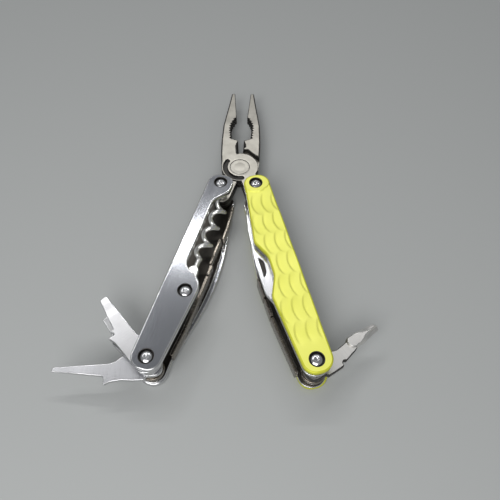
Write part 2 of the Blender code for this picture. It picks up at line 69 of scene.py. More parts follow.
def heading(start, end):
    return math.degrees(math.atan2(end[1] - start[1], end[0] - start[0]))


leftTurn = heading(leftFront, leftEnd)
rightTurn = heading(rightFront, rightEnd)
span = float(np.hypot(*(leftEnd - leftFront)))  # front rivet to end rivet
middleRivet = (49.0, 3.5)  # in the left handle's own place
tangAside, tangDrop = 5.7, 16.2  # from the pin to each tang's rivet

# Each place: where a piece's own origin stands, and how it is turned.
jawTurn = jointNamed["jaw_pivot"]["range_deg"][0] / 2
jawLean = (heading(pinAt, leftFront) - heading((0, 0), (-tangAside, -tangDrop))
           + heading(pinAt, rightFront) - heading((0, 0), (tangAside, -tangDrop))) / 2
places = {
    "leftJaw": (pinAt, jawLean - jawTurn),
    "rightJaw": (pinAt, jawLean + jawTurn),
    "leftHandle": (leftFront, leftTurn),
    "rightHandle": (rightFront, rightTurn),
    "canOpener": (leftEnd, leftTurn + 180 + folded("can_opener_fold")),
    "smallDriver": (leftEnd, leftTurn + 180 + folded("small_driver_fold")),
    "flatDriver": (leftEnd, leftTurn + 180 + folded("flat_driver_fold")),
    "corkscrew": (jointPlace("corkscrew_fold"), leftTurn),
    "phillips": (rightEnd, rightTurn + 180 - folded("phillips_fold")),
    "knife": (rightEnd, rightTurn + 180),
}


# Materials


def linear(hexColour):  # sRGB hex to linear light
    parts = [int(hexColour[i:i + 2], 16) / 255 for i in (1, 3, 5)]
    return tuple(c / 12.92 if c <= 0.04045 else ((c + 0.055) / 1.055) ** 2.4 for c in parts) + (1.0,)


def node(tree, kind, settings=None, **links):  # adds a node, sets it and links its inputs
    made = tree.nodes.new("ShaderNode" + kind)
    for key, value in (settings or {}).items():
        if isinstance(key, str) and hasattr(made, key):
            setattr(made, key, value)
        else:
            made.inputs[key].default_value = value
    for name, source in links.items():
        tree.links.new(source, made.inputs[name.replace("_", " ")])
    return made


def newMaterial(name, **shaderSettings):
    material = bpy.data.materials.new(name)
    material.use_nodes = True
    tree = material.node_tree
    tree.nodes.clear()
    shader = node(tree, "BsdfPrincipled", {k.replace("_", " "): v for k, v in shaderSettings.items()})
    output = node(tree, "OutputMaterial")
    tree.links.new(shader.outputs[0], output.inputs["Surface"])
    return material, tree, shader


def ramp(tree, source, stops):  # a colour ramp through (position, hex colour) stops
    made = node(tree, "ValToRGB", {}, Fac=source)
    elements = made.color_ramp.elements
    for index, (position, colour) in enumerate(stops):
        element = elements[index] if index < 2 else elements.new(position)
        element.position = position
        element.color = linear(colour)
    return made.outputs["Color"]


def spread(tree, source, low, high):  # stretches a 0 to 1 pattern to low to high
    return node(tree, "MapRange", {"To Min": low, "To Max": high}, Value=source).outputs["Result"]


def localCoordinates(tree, place, scale=(1, 1, 1)):
    # Object coordinates turned so that x runs along the piece, in millimetres.
    (x, y), turn = place
    angle = math.radians(turn)
    centred = node(tree, "Mapping", {"Location": (-x * mm, -y * mm, 0)},
                   Vector=node(tree, "TexCoord").outputs["Object"])
    turned = node(tree, "Mapping", {"Rotation": (0, 0, -angle)}, Vector=centred.outputs[0])
    sized = node(tree, "Mapping", {"Scale": tuple(s / mm for s in scale)}, Vector=turned.outputs[0])
    return sized.outputs[0]


finish = {
    "grainWidth": 0.11,  # mm between brush lines
    "grainLength": 9.0,  # mm, how long one brush line runs
    "brushDepth": 0.0035,  # mm
    "blastGrain": 0.16,  # mm, grains of the jaws' tumbled surface
    "anodisedGrain": 0.20,  # mm, the scales' blasted surface, coarser than real
}


def brushedSteel(name, place, light, dark, roughness, along=True, depth=1.0):
    # Rolled stainless sheet, belt-ground along its length: fine parallel lines that smear
    # reflections across them, with slow cloudy differences in tone.
    material, tree, shader = newMaterial(name, Metallic=1.0, Base_Color=linear(light))
    narrow, run = 1 / finish["grainWidth"], 1 / finish["grainLength"]
    lineScale = (run, narrow, narrow * 0.2) if along else (narrow, run, narrow * 0.2)
    lines = node(tree, "TexNoise", {"Scale": 1.0, "Detail": 3.0, "Roughness": 0.65},
                 Vector=localCoordinates(tree, place, lineScale))
    clouds = node(tree, "TexNoise", {"Scale": 0.16, "Detail": 2.0},  # 6 mm patches
                  Vector=localCoordinates(tree, place))
    both = node(tree, "Mix", {"data_type": "FLOAT", 0: 0.35}).outputs[0]
    mixer = both.node
    tree.links.new(lines.outputs["Fac"], mixer.inputs[2])
    tree.links.new(clouds.outputs["Fac"], mixer.inputs[3])
    tree.links.new(ramp(tree, both, [(0.30, dark), (0.70, light)]), shader.inputs["Base Color"])
    tree.links.new(spread(tree, lines.outputs["Fac"], roughness - 0.07, roughness + 0.07),
                   shader.inputs["Roughness"])
    bump = node(tree, "Bump", {"Strength": 0.5, "Distance": finish["brushDepth"] * mm * depth},
                Height=lines.outputs["Fac"])
    tree.links.new(bump.outputs[0], shader.inputs["Normal"])
    return material


def tumbledSteel(name, light, dark, roughness):
    # Cast stainless, tumbled and blasted: a fine grain without direction, slightly warm.
    material, tree, shader = newMaterial(name, Metallic=1.0, Base_Color=linear(light))
    place = localCoordinates(tree, places["leftJaw"])
    grain = node(tree, "TexNoise", {"Scale": 1 / finish["blastGrain"], "Detail": 2.0}, Vector=place)
    clouds = node(tree, "TexNoise", {"Scale": 0.22, "Detail": 3.0}, Vector=place)
    tree.links.new(ramp(tree, clouds.outputs["Fac"], [(0.32, dark), (0.66, light)]),
                   shader.inputs["Base Color"])
    tree.links.new(spread(tree, grain.outputs["Fac"], roughness - 0.1, roughness + 0.1),
                   shader.inputs["Roughness"])
    bump = node(tree, "Bump", {"Strength": 0.6, "Distance": 0.012 * mm}, Height=grain.outputs["Fac"])
    tree.links.new(bump.outputs[0], shader.inputs["Normal"])
    return material


def polishedSteel(name, light, roughness):
    # Polished stainless: a near mirror with faint wiping marks.
    material, tree, shader = newMaterial(name, Metallic=1.0, Base_Color=linear(light))
    marks = node(tree, "TexNoise", {"Scale": 900.0, "Detail": 4.0, "Distortion": 0.4},
                 Vector=node(tree, "TexCoord").outputs["Object"])
    tree.links.new(spread(tree, marks.outputs["Fac"], roughness * 0.6, roughness * 1.5),
                   shader.inputs["Roughness"])
    return material


def anodisedAluminium(name, light, dark):
    # Aluminium, bead-blasted and anodised lemon yellow: a soft satin with a very fine grain.
    material, tree, shader = newMaterial(name, Metallic=0.2, Roughness=0.45, Base_Color=linear(light))
    shader.inputs["Specular IOR Level"].default_value = 0.25
    place = localCoordinates(tree, places["rightHandle"])
    grain = node(tree, "TexNoise", {"Scale": 1 / finish["anodisedGrain"], "Detail": 3.0}, Vector=place)
    clouds = node(tree, "TexNoise", {"Scale": 0.12, "Detail": 2.0}, Vector=place)
    both = node(tree, "Mix", {"data_type": "FLOAT", 0: 0.3}).outputs[0]
    tree.links.new(clouds.outputs["Fac"], both.node.inputs[2])
    tree.links.new(grain.outputs["Fac"], both.node.inputs[3])
    tree.links.new(ramp(tree, both, [(0.30, dark), (0.68, light)]), shader.inputs["Base Color"])
    tree.links.new(spread(tree, grain.outputs["Fac"], 0.36, 0.5), shader.inputs["Roughness"])
    bump = node(tree, "Bump", {"Strength": 0.5, "Distance": 0.006 * mm}, Height=grain.outputs["Fac"])
    tree.links.new(bump.outputs[0], shader.inputs["Normal"])
    return material


plateFace = brushedSteel("belt-ground steel plate", places["leftHandle"], "#bdbfc4", "#abadb3", 0.14)
linerFace = brushedSteel("rolled steel liner", places["rightHandle"], "#8a8681", "#6f6b66", 0.28)
# painted shade: the left handle's inner liner is coloured near black for the shade and dark reflections
# between the plates
leftLinerShadedFace = brushedSteel("rolled steel inner liner in painted shade", places["leftHandle"], "#4b4844", "#35332f", 0.34)
openerFace = brushedSteel("ground opener steel", places["canOpener"], "#dcdcde", "#c2c1c2", 0.30, False)
# painted shade: the small driver is coloured darker than the other drivers for the can opener's shadow over
# it
smallDriverShadedFace = brushedSteel("ground small driver steel in painted shade", places["smallDriver"], "#a5a5a6", "#8d8d8e",
                         0.34, False)
flatFace = brushedSteel("ground flat driver steel", places["flatDriver"], "#dadadd", "#c0c0c3", 0.30, False)
crossFace = brushedSteel("ground cross driver steel", places["phillips"], "#f0eeea", "#dedcd8", 0.36, False)
knifeFace = brushedSteel("ground blade steel", places["knife"], "#d8d8da", "#bfbfc2", 0.26, False)
jawFace = tumbledSteel("tumbled jaw steel", "#dcd8ce", "#c8c4ba", 0.44)
edgeSteel = polishedSteel("polished steel edge", "#d9d9da", 0.20)
brightSteel = polishedSteel("polished rivet steel", "#cfcfd1", 0.20)
wireSteel = polishedSteel("polished corkscrew wire", "#f0efec", 0.22)
springSteel = polishedSteel("polished spring steel", "#8c857c", 0.24)
shadedSteel = polishedSteel("well steel in painted shade", "#4c4a48", 0.45)  # painted shade: a dark steel that stands for the shade in wells, pockets and on side walls
yellowScale = anodisedAluminium("anodised aluminium scale", "#ffff80", "#f6f772")
# painted shade: a darker copy of the scale's yellow for the rims and side walls
yellowShadedEdge = anodisedAluminium("anodised aluminium edge in painted shade", "#dfe04a", "#c6c83c")
print("materials made")


# Outlines, as arrays of (x, y) in millimetres, counter-clockwise


def arc(x, y, radius, start, stop, count=24):
    angle = np.radians(np.linspace(start, stop, count + 1))
    return np.column_stack((x + radius * np.cos(angle), y + radius * np.sin(angle)))


def circle(x, y, radius, count=64):
    return arc(x, y, radius, 0, 360, count)[:-1]


def stadium(x0, y0, x1, y1, radius):  # a straight slot with round ends
    along = heading((x0, y0), (x1, y1))
    return np.vstack((arc(x0, y0, radius, along + 90, along + 270),
                      arc(x1, y1, radius, along - 90, along + 90)))


def rounded(corners, step=8):
    # The polygon of corners (x, y, radius), each replaced by the arc that touches its two sides.
    points = []
    spots = np.array([corner[:2] for corner in corners], float)
    for index, (x, y, radius) in enumerate(corners):
        here = spots[index]
        back, ahead = spots[index - 1] - here, spots[(index + 1) % len(spots)] - here
        backLength, aheadLength = np.hypot(*back), np.hypot(*ahead)
        back, ahead = back / backLength, ahead / aheadLength
        angle = math.acos(np.clip(back @ ahead, -1, 1))
        if radius == 0 or angle > math.radians(179):
            points.append(here[None])
            continue
        reach = min(radius / math.tan(angle / 2), 0.49 * backLength, 0.49 * aheadLength)
        radius = reach * math.tan(angle / 2)
        middle = (back + ahead) / np.hypot(*(back + ahead))
        centre = here + middle * radius / math.sin(angle / 2)
        first = math.degrees(math.atan2(*(here + back * reach - centre)[::-1]))
        last = math.degrees(math.atan2(*(here + ahead * reach - centre)[::-1]))
        sweep = (last - first + 180) % 360 - 180
        points.append(arc(*centre, radius, first, first + sweep, max(2, round(abs(sweep) / step))))
    return np.vstack(points)


def mirrored(outline):
    return outline[::-1] * (-1, 1)


def divided(outline, longest):
    # The closed outline each side cut into equal parts no longer than a length.
    sides = np.roll(outline, -1, axis=0) - outline
    counts = np.maximum(1, np.ceil(np.hypot(*sides.T) / longest)).astype(int)
    start = np.repeat(outline, counts, axis=0)
    share = np.concatenate([np.arange(count) / count for count in counts])
    return start + np.repeat(sides, counts, axis=0) * share[:, None]


def clean(outline, least=0.02):  # drops points that stand on the one before
    return outline[np.hypot(*(outline - np.roll(outline, 1, axis=0)).T) > least]


def drawnIn(outline, distance):
    # The outline moved to its left by a distance, one per point: each point goes along the
    # line that halves its corner, by the distance over the cosine of half the turn.
    back = outline - np.roll(outline, 1, axis=0)
    ahead = np.roll(back, -1, axis=0)
    back = back / np.hypot(*back.T)[:, None]
    ahead = ahead / np.hypot(*ahead.T)[:, None]
    middle = back + ahead
    middle = middle / np.hypot(*middle.T)[:, None]
    normal = np.column_stack((-middle[:, 1], middle[:, 0]))
    share = np.maximum(0.5, normal[:, 0] * -ahead[:, 1] + normal[:, 1] * ahead[:, 0])
    return outline + normal * (np.broadcast_to(distance, len(outline)) / share)[:, None]


def inside(points, outline):
    # Points from which a ray crosses the outline an odd number of times.
    ahead = np.roll(outline, -1, axis=0)
    x, y = points[:, :1], points[:, 1:]
    crosses = (outline[:, 1] > y) != (ahead[:, 1] > y)
    rise = np.where(ahead[:, 1] == outline[:, 1], 1, ahead[:, 1] - outline[:, 1])
    at = outline[:, 0] + (y - outline[:, 1]) * (ahead[:, 0] - outline[:, 0]) / rise
    return (crosses & (x < at)).sum(axis=1) % 2 == 1


def clearOf(points, loop, distance):
    near = np.full(len(points), np.inf)
    for part in np.array_split(loop, max(1, len(loop) // 100)):
        gaps = np.hypot(points[:, :1] - part[:, 0], points[:, 1:] - part[:, 1])
        near = np.minimum(near, gaps.min(axis=1))
    return points[near > distance]


# Surfaces


class Shell:
    # Collects parts of one piece's surface: points in millimetres, faces and their finish.

    def __init__(self):
        self.points, self.faces, self.finishes, self.count = [], [], [], 0

    def add(self, points, faces, finishIndex):
        self.points.append(np.asarray(points, float))
        self.faces += (np.asarray(faces) + self.count).tolist()
        self.finishes += [finishIndex] * len(faces)
        self.count += len(points)

    def band(self, rings, finishIndex, closed=True):
        # Four-sided faces between rings of equally many points, a grid of ring by point.
        rings = np.asarray(rings, float)
        rows, columns = rings.shape[:2]
        index = np.arange(rows * columns).reshape(rows, columns)
        if closed:
            index = np.column_stack((index, index[:, 0]))
        quads = np.stack((index[:-1, :-1], index[:-1, 1:], index[1:, 1:], index[1:, :-1]), axis=-1)
        self.add(rings.reshape(-1, 3), quads.reshape(-1, 4), finishIndex)

    def fan(self, middle, rim, finishIndex=0):
        count = np.arange(len(rim))
        faces = np.column_stack((np.zeros(len(rim), int), 1 + count, 1 + (count + 1) % len(rim)))
        self.add(np.vstack((middle, rim)), faces, finishIndex)

    def cap(self, loops, height, finishIndex, grid=None):
        # Fills the first loop round the others, with a square grid of extra points where the
        # height is a relief, and lifts every point to height(x, y).
        flat = np.vstack(loops)
        edges, start = [], 0
        for loop in loops:
            number = np.arange(len(loop))
            edges.append(np.column_stack((start + number, start + (number + 1) % len(loop))))
            start += len(loop)
        if grid:
            low, high = loops[0].min(axis=0), loops[0].max(axis=0)
            across = [np.arange(low[i] + grid / 2, high[i], grid) for i in (0, 1)]
            extra = np.stack(np.meshgrid(*across), axis=-1).reshape(-1, 2)
            extra = extra[inside(extra, loops[0])]
            for hole in loops[1:]:
                extra = extra[~inside(extra, hole)]
            for loop in loops:
                extra = clearOf(extra, loop, 0.6 * grid)
            flat = np.vstack((flat, extra))
        found = delaunay_2d_cdt([tuple(p) for p in flat], np.vstack(edges).tolist(), [], 1, 1e-6)
        spots, triangles = np.array([tuple(p) for p in found[0]]), np.array(found[2])
        middle = spots[triangles].mean(axis=1)
        kept = inside(middle, loops[0])
        for hole in loops[1:]:
            kept &= ~inside(middle, hole)
        self.add(np.column_stack((spots, height(*spots.T))), triangles[kept], finishIndex)

    def make(self, name, place, materials, smoothAngle=40):
        # Puts the surface into a mesh at its place in the world, closed and facing outwards.
        points = np.vstack(self.points)
        (x, y), turn = place
        angle = math.radians(turn)
        spin = np.array([[math.cos(angle), math.sin(angle)], [-math.sin(angle), math.cos(angle)]])
        points[:, :2] = points[:, :2] @ spin + (x, y)
        mesh = bpy.data.meshes.new(name)
        mesh.from_pydata((points * mm).tolist(), [], self.faces)
        for material in materials:
            mesh.materials.append(material)
        mesh.polygons.foreach_set("material_index", self.finishes)
        bm = bmesh.new()
        bm.from_mesh(mesh)
        bmesh.ops.remove_doubles(bm, verts=bm.verts, dist=2e-6)
        bmesh.ops.dissolve_degenerate(bm, edges=bm.edges, dist=1e-7)
        bmesh.ops.recalc_face_normals(bm, faces=bm.faces)
        bm.to_mesh(mesh)
        bm.free()
        mesh.shade_smooth()
        mesh.set_sharp_from_angle(angle=math.radians(smoothAngle))
        obj = bpy.data.objects.new(name, mesh)
        bpy.context.scene.collection.objects.link(obj)
        return obj


def level(z):  # a flat face's height
    return lambda x, y: np.full(np.shape(x), float(z))


def rimSteps(rim, drop, count):
    # A rim's quarter round from face to wall, as (how far in, how far down).
    sweep = np.linspace(0, math.pi / 2, count + 1)
    return [(rim * (1 - math.sin(a)), drop * (1 - math.cos(a))) for a in sweep]


def plate(shell, outline, above, below, rim=0.15, wells=(), pockets=(), faces=(0, 0), wall=1,
          rimCount=4, grid=None, roundTop=True, roundBottom=True, drop=None, support=0.08):
    # A plate between two faces, above(x, y) and below(x, y): its outline with quarter-round
    # rims is carried down as rings, and each face is filled inside its innermost ring.
    # Wells are turned holes from face to face, and pockets are sunk into the upper face.
    rim = np.broadcast_to(np.asarray(rim, float), len(outline))
    drop = rim if drop is None else np.broadcast_to(np.asarray(drop, float), len(outline))

    def ring(inset, sink, face, sign):
        spots = drawnIn(outline, inset) if np.any(inset) else outline
        return np.column_stack((spots, face(*spots.T) - sign * sink))

    rings = []
    if roundTop:
        rings.append(ring(rim + support, 0, above, 1))
        rings += [ring(a, b, above, 1) for a, b in rimSteps(rim, drop, rimCount)]
    else:
        rings.append(ring(0, 0, above, 1))
    if roundBottom:
        rings += [ring(a, b, below, -1) for a, b in rimSteps(rim, drop, rimCount)[::-1]]
        rings.append(ring(rim + support, 0, below, -1))
    else:
        rings.append(ring(0, 0, below, -1))
    shell.band(rings, wall)
    tops, bottoms = [rings[0][:, :2]], [rings[-1][:, :2]]
    for x, y, profile, finishIndex in wells:
        unit = circle(0, 0, 1, 64)
        turned = []
        for radius, z, face in profile:
            spots = unit * radius + (x, y)
            base = above(*spots.T) if face > 0 else below(*spots.T)
            turned.append(np.column_stack((spots, base + z)))
        shell.band(turned, finishIndex)
        tops.append(turned[0][:, :2])
        bottoms.append(turned[-1][:, :2])
    for loop, depth, lip, finishIndex in pockets:
        steps = rimSteps(lip, lip, 3)
        sunk = [np.column_stack((drawnIn(loop, -a), above(*loop.T) - b)) for a, b in steps]
        foot = drawnIn(loop, 0.12)
        sunk.append(np.column_stack((loop, above(*loop.T) - depth + 0.12)))
        sunk.append(np.column_stack((foot, above(*foot.T) - depth)))
        shell.band(sunk, finishIndex)
        shell.cap([foot], lambda x, y, d=depth: above(x, y) - d, finishIndex)
        tops.append(sunk[0][:, :2])
    shell.cap(tops, above, faces[0], grid)
    shell.cap(bottoms, below, faces[1], grid)


def turnedRing(shell, x, y, profile, finishIndex=0, count=64, loop=False):
    # A turned surface: profile points (radius, z) carried round a vertical line at (x, y).
    unit = circle(0, 0, 1, count)
    profile = list(profile) + ([profile[0]] if loop else [])
    shell.band([np.column_stack((unit * r + (x, y), np.full(count, z))) for r, z in profile], finishIndex)


def show(obj, body, slot, *nodes):
    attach(obj, body)
    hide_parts(*nodes)
    return obj


# Rivets, their wells and the rings between the layers

rivet = {
    "hole": 1.55,
    "shaft": 1.25,
    "head": 1.95,
    "well": 2.4,
    "wellDepth": 1.25,
    "lip": 0.16,  # the softened mouth of a well
    "below": 0.08,  # the crown stays this far under the handle's face
    "dome": 0.42,  # how far the crown rises over the head's rim
    "rim": 0.45,  # the upright part of the head
    "dimple": 0.62,  # radius of the dimple in the crown
    "dimpleDepth": 0.22,
}


def wellProfile(upper, lower):
    # From the upper face to the lower one: a softened mouth, a straight wall and a floor
    # where that face has a well, and the plain hole elsewhere.
    lip = rivet["lip"]
    mouth = [(rivet["well"] + lip + 0.1, 0)]
    mouth += [(rivet["well"] + a, -b) for a, b in rimSteps(lip, lip, 3)]
    mouth += [(rivet["well"], -rivet["wellDepth"]), (rivet["hole"], -rivet["wellDepth"])]
    plain = [(rivet["hole"] + 0.05, 0), (rivet["hole"], -0.05)]
    top = mouth if upper else plain
    bottom = mouth if lower else plain
    return [(r, z, 1) for r, z in top] + [(r, -z, -1) for r, z in reversed(bottom)]


plainHole = [(rivet["hole"], 0, 1), (rivet["hole"], 0, -1)]


def headProfile(radius, crown):
    # A rivet head from its centre out and down: the dimple, a bead at the dimple's mouth,
    # the dome as an arc of a circle, a rounded shoulder and the upright rim.
    dimple, depth = rivet["dimple"], rivet["dimpleDepth"]
    reach = np.linspace(0, 1, 7)[:-1]
    hollow = [(dimple * s, crown - 0.05 - depth * (1 - s * s)) for s in reach]
    bead = [(dimple, crown - 0.05), (dimple + 0.06, crown - 0.01), (dimple + 0.14, crown)]
    sweep = np.linspace(0.15, 1, 9)
    start = dimple + 0.14
    dome = [(start + (radius - start) * s, crown - rivet["dome"] * s * s) for s in sweep]
    return hollow + bead + dome


def makeRivet(name, place, x, y, body, foot=None):
    crown = thickness - rivet["below"]
    upper = headProfile(rivet["head"], crown)
    neck = crown - rivet["dome"] - rivet["rim"]
    upper += [(rivet["head"], neck), (rivet["shaft"], neck)]
    if foot is None:
        lower = [(r, thickness - z) for r, z in reversed(upper)]
    else:
        lower = [(rivet["shaft"], foot + 0.5), (rivet["head"], foot + 0.5), (rivet["head"], foot), (0, foot)]
    shell = Shell()
    turnedRing(shell, x, y, upper + lower)
    show(shell.make(name.replace("_rivet", "_domed_rivet"), place, [brightSteel]), body, "rivet_steel", name)


def makeWasher(name, place, x, y, outer, low, high, body, slot):
    material = brightSteel if slot == "rivet_steel" else springSteel
    soft = 0.22  # rounded edges
    inner = rivet["hole"]
    outside = [(outer - soft + a, high - soft + b) for a, b in
               [(soft * math.sin(t), soft * math.cos(t)) for t in np.linspace(0, math.pi / 2, 5)]]
    outside += [(r, low + high - z) for r, z in reversed(outside)]
    shell = Shell()
    turnedRing(shell, x, y, [(inner, high), *outside, (inner, low)], loop=True)
    show(shell.make(name + "_turned", place, [material]), body, slot, name)


# The pliers

pliers = {
    "low": 4.1,
    "high": 8.5,
    "disc": 7.8,
    "pin": 4.0,
    "tip": 46.8,
    "taperStart": 26.0,
    "taper": 0.8,  # how much each face falls towards the tip
    "teeth": 9,
    "toothDepth": 0.8,
    "scoopDepth": 2.7,
    "cutter": 1.25,  # width of the bevel that runs to a cutting edge
    "grip": (16.6, 30.0),  # the toothed scoop's ends
    "cutterTop": 15.4,
    "groove": (6.2, 0.95, 145, 275),  # radius, half width, end angles
    "grooveDepth": 0.9,
    "seam": 0.08,  # round the pin
    "flankRound": 0.5,
    "tang": (tangAside, -tangDrop),
}
lap = (pliers["low"] + pliers["high"]) / 2


def jawAbove(x, y):
    fall = pliers["taper"] * (y - pliers["taperStart"]) / (pliers["tip"] + 1 - pliers["taperStart"])
    return pliers["high"] - np.clip(fall, 0, None)


def jawBelow(x, y):
    return pliers["low"] + pliers["high"] - jawAbove(x, y)


def gripEdge():
    # The inner edge from the tip down to the disc: a flat nose, then a scoop whose depth is a
    # quarter sine that levels off towards the cutter, with saw teeth on it.
    face, count = 0.15, pliers["teeth"]
    bottom, top = pliers["grip"]
    share = np.linspace(1, 0, 2 * count + 1)
    y = bottom + (top - bottom) * share
    scoop = pliers["scoopDepth"] * np.sin(math.pi / 2 * np.minimum(1, (1 - share) / 0.55)) ** 0.9
    tooth = pliers["toothDepth"] * (np.arange(2 * count + 1) % 2)
    nose = [(-face, pliers["tip"] - 0.3), (-face, top + 0.4)]
    edge = np.column_stack((-face - scoop - tooth, y))
    return np.vstack((nose, edge, [(-face, pliers["cutterTop"])]))


def jawOutlines():
    # Counter-clockwise outlines of the left jaw: all of it, the blade beyond the slanted
    # shoulder, and the tang's end, which both have the lap joint's full thickness.
    disc, face, fillet = pliers["disc"], 0.15, 0.8
    tangX, tangY = pliers["tang"]
    side = heading((2.0, 0), pliers["tang"])
    tip = [(-0.35, pliers["tip"]), (-1.55, pliers["tip"] - 0.02), (-1.78, pliers["tip"] - 0.25)]
    flank = [(-3.0, 40.5), (-6.3, 25.3), (-7.4, 15.6), (-7.8, 8.0)]
    softFlank = rounded([(0, pliers["tip"] - 0.2, 0), (-1.78, pliers["tip"] - 0.25, 0),
                         *[(x, y, 9.0) for x, y in flank[:3]],
                         (-7.8, 8.0, 6.0), (-7.8, 0, 0)])[2:]
    centreY = math.sqrt((disc + fillet) ** 2 - (fillet - face) ** 2)
    leave = math.degrees(math.atan2(centreY, fillet - face))
    inner = arc(fillet - face, centreY, fillet, leave + 180, 180, 8)
    tang = arc(tangX, tangY, 3.5, side - 90, side + 90, 20)
    around = np.vstack((arc(0, 0, disc, 180, 271.5, 26), tang, arc(0, 0, disc, -33, leave, 34)))
    grip = gripEdge()
    whole = np.vstack((tip, softFlank[:-1], around, inner[:-1], grip[::-1]))
    slope = (10.3 - 4.0) / (-2.4 + 9.6)
    onSlant = [(x, 10.3 + (x + 2.4) * slope) for x in (-7.78, -2.6)]
    corner = rounded([(onSlant[0][0], onSlant[0][1], 0), (-2.4, 10.3, 0.5), (-face, 9.85, 0.1),
                      (-face, 15.0, 0)])
    flankPart = softFlank[softFlank[:, 1] > onSlant[0][1] + 0.2]
    blade = np.vstack((tip, flankPart, corner[:-1], grip[::-1]))
    tangEnd = np.vstack((arc(tangX, tangY, 3.5, side - 90, side + 90, 20),
                         arc(0, 0, disc + 0.4, -33, -88, 16)))
    return [clean(loop) for loop in (whole, blade, tangEnd)]


def jawRims(outline):
    # How wide each point's rim is: broad along the outer flank, a bevel along the cutter and
    # narrow everywhere else.
    x, y = outline.T
    onFlank = (x < -1.7) & (y > 3) & (x < -0.186 * (pliers["tip"] - np.clip(y, 25.3, pliers["tip"])) - 1.2)
    onFlank &= ~((x > -6.0) & (y < 24))
    rim = np.where(onFlank, pliers["flankRound"], 0.18)
    drop = np.where(onFlank, 0.55, 0.18)
    onCutter = (x > -0.3) & (x < 0.6) & (y > 8.0) & (y < 15.6)
    rise = np.clip((pliers["cutterTop"] - y) / 3.0, 0, 1)
    rim = np.where(onCutter, 0.18 + (pliers["cutter"] - 0.18) * rise, rim)
    drop = np.where(onCutter, 0.18 + 1.3 * rise, drop)
    around = [np.roll(rim, k) for k in (-2, -1, 0, 1, 2)]
    return np.where(onCutter, rim, np.mean(around, axis=0)), drop


def makeJaw(name, node, side, place):
    outlines = [mirrored(loop) if side > 0 else loop for loop in jawOutlines()]
    whole, blade, tangEnd = [divided(loop, 0.45) for loop in outlines]
    shell = Shell()
    hole = pliers["pin"] + pliers["seam"]
    shaftX, shaftY = -side * pliers["tang"][0], pliers["tang"][1]
    pinHole = (0, 0, [(hole + 0.12, 0, 1), (hole + 0.03, -0.03, 1), (hole, -0.12, 1), (hole, 0, -1)], 2)
    shaftHole = (shaftX, shaftY, plainHole, 2)
    upper = side < 0
    middle = level(lap + 0.12 if upper else lap - 0.12)
    mid = level(lap)
    # painted shade: the jaws' rims, walls, holes and groove take the dark well steel, for the shade on the
    # cutter bevels and flanks
    faces = dict(grid=0.7, faces=(0, 0), wall=2)

    def rims(loop):
        flat = mirrored(loop) if side > 0 else loop
        rim, drop = jawRims(flat)
        return (rim[::-1], drop[::-1]) if side > 0 else (rim, drop)

    rim, drop = rims(whole)
    if upper:
        radius, half, start, stop = pliers["groove"]
        ends = [arc(radius * math.cos(math.radians(a)), radius * math.sin(math.radians(a)), half,
                    a + t, a + t + 180, 12) for a, t in ((stop, 0), (start, 180))]
        groove = np.vstack((arc(0, 0, radius + half, start, stop, 30)[1:-1], ends[0],
                            arc(0, 0, radius - half, stop, start, 24)[1:-1], ends[1]))
        plate(shell, whole, jawAbove, middle, rim, wells=[pinHole, shaftHole], roundBottom=False,
              pockets=[(clean(groove), pliers["grooveDepth"], 0.14, 2)], drop=drop, **faces)
    else:
        plate(shell, whole, middle, jawBelow, rim, wells=[pinHole, shaftHole], roundTop=False,
              drop=drop, **faces)
    rim, drop = rims(blade)
    if upper:
        plate(shell, blade, mid, jawBelow, rim, roundTop=False, drop=drop, **faces)
        plate(shell, tangEnd, mid, jawBelow, 0.15, wells=[shaftHole], roundTop=False, **faces)
    else:
        plate(shell, blade, jawAbove, mid, rim, roundBottom=False, drop=drop, **faces)
        plate(shell, tangEnd, jawAbove, mid, 0.15, wells=[shaftHole], roundBottom=False, **faces)
    body = "left_jaw" if side < 0 else "right_jaw"
    show(shell.make(name, place, [jawFace, edgeSteel, shadedSteel]), body, "jaw_steel", node)


def makePin():
    radius, rise = pliers["pin"], 0.02
    top = [(0, pliers["high"] - rise), (2.2, pliers["high"] - rise), (2.45, pliers["high"] - rise - 0.03),
           (2.7, pliers["high"] - rise), (radius - 0.3, pliers["high"] - rise)]
    top += [(radius - a, pliers["high"] - rise - b) for a, b in rimSteps(0.2, 0.12, 4)]
    shell = Shell()
    turnedRing(shell, 0, 0, top + [(r, pliers["low"] + pliers["high"] - z) for r,
                                   z in reversed(top)], count=96)
    show(shell.make("pivot_pin_flush", places["leftJaw"], [jawFace]), "left_jaw", "rivet_steel",
         "jaw_pivot_pin")


makeJaw("left_jaw_toothed", "left_jaw", -1, places["leftJaw"])
makeJaw("right_jaw_toothed", "right_jaw", 1, places["rightJaw"])
makePin()
print("pliers made")


# The left handle: bare steel plates

leftHandle = {
    "thick": 2.0,
    "rim": 0.5,  # the polished round edge
    "liner": (2.3, 3.1),
    "rail": 3.4,
}


def bellyOutline(margin, rise):
    # The lower plate's outline: straight on the outside, and on the inside a half wave.
    share = np.linspace(0, 1, 40)
    front, end, back, inner = -3.9 + margin, 79.1 - margin, -5.0 + margin, 4.9 - margin
    wave = inner + rise * np.sin(math.pi * share) ** 1.2
    corners = [(front, back, 4.4), (end, back, 4.4), (end, inner, 4.4)]
    corners += [(x, y, 0) for x, y in zip(70.0 - 69.0 * share, wave)]
    return rounded(corners + [(front, inner, 4.2)])


def bar(name, node, corners, low, high, place, body, soft=0.3, rim=0.25):
    shell = Shell()
    outline = divided(clean(rounded([(x, y, soft) for x, y in corners], 15)), 1.0)
    plate(shell, outline, level(high), level(low), rim, rimCount=3, wall=0)
    show(shell.make(name, place, [springSteel]), body, "spring_steel", node)


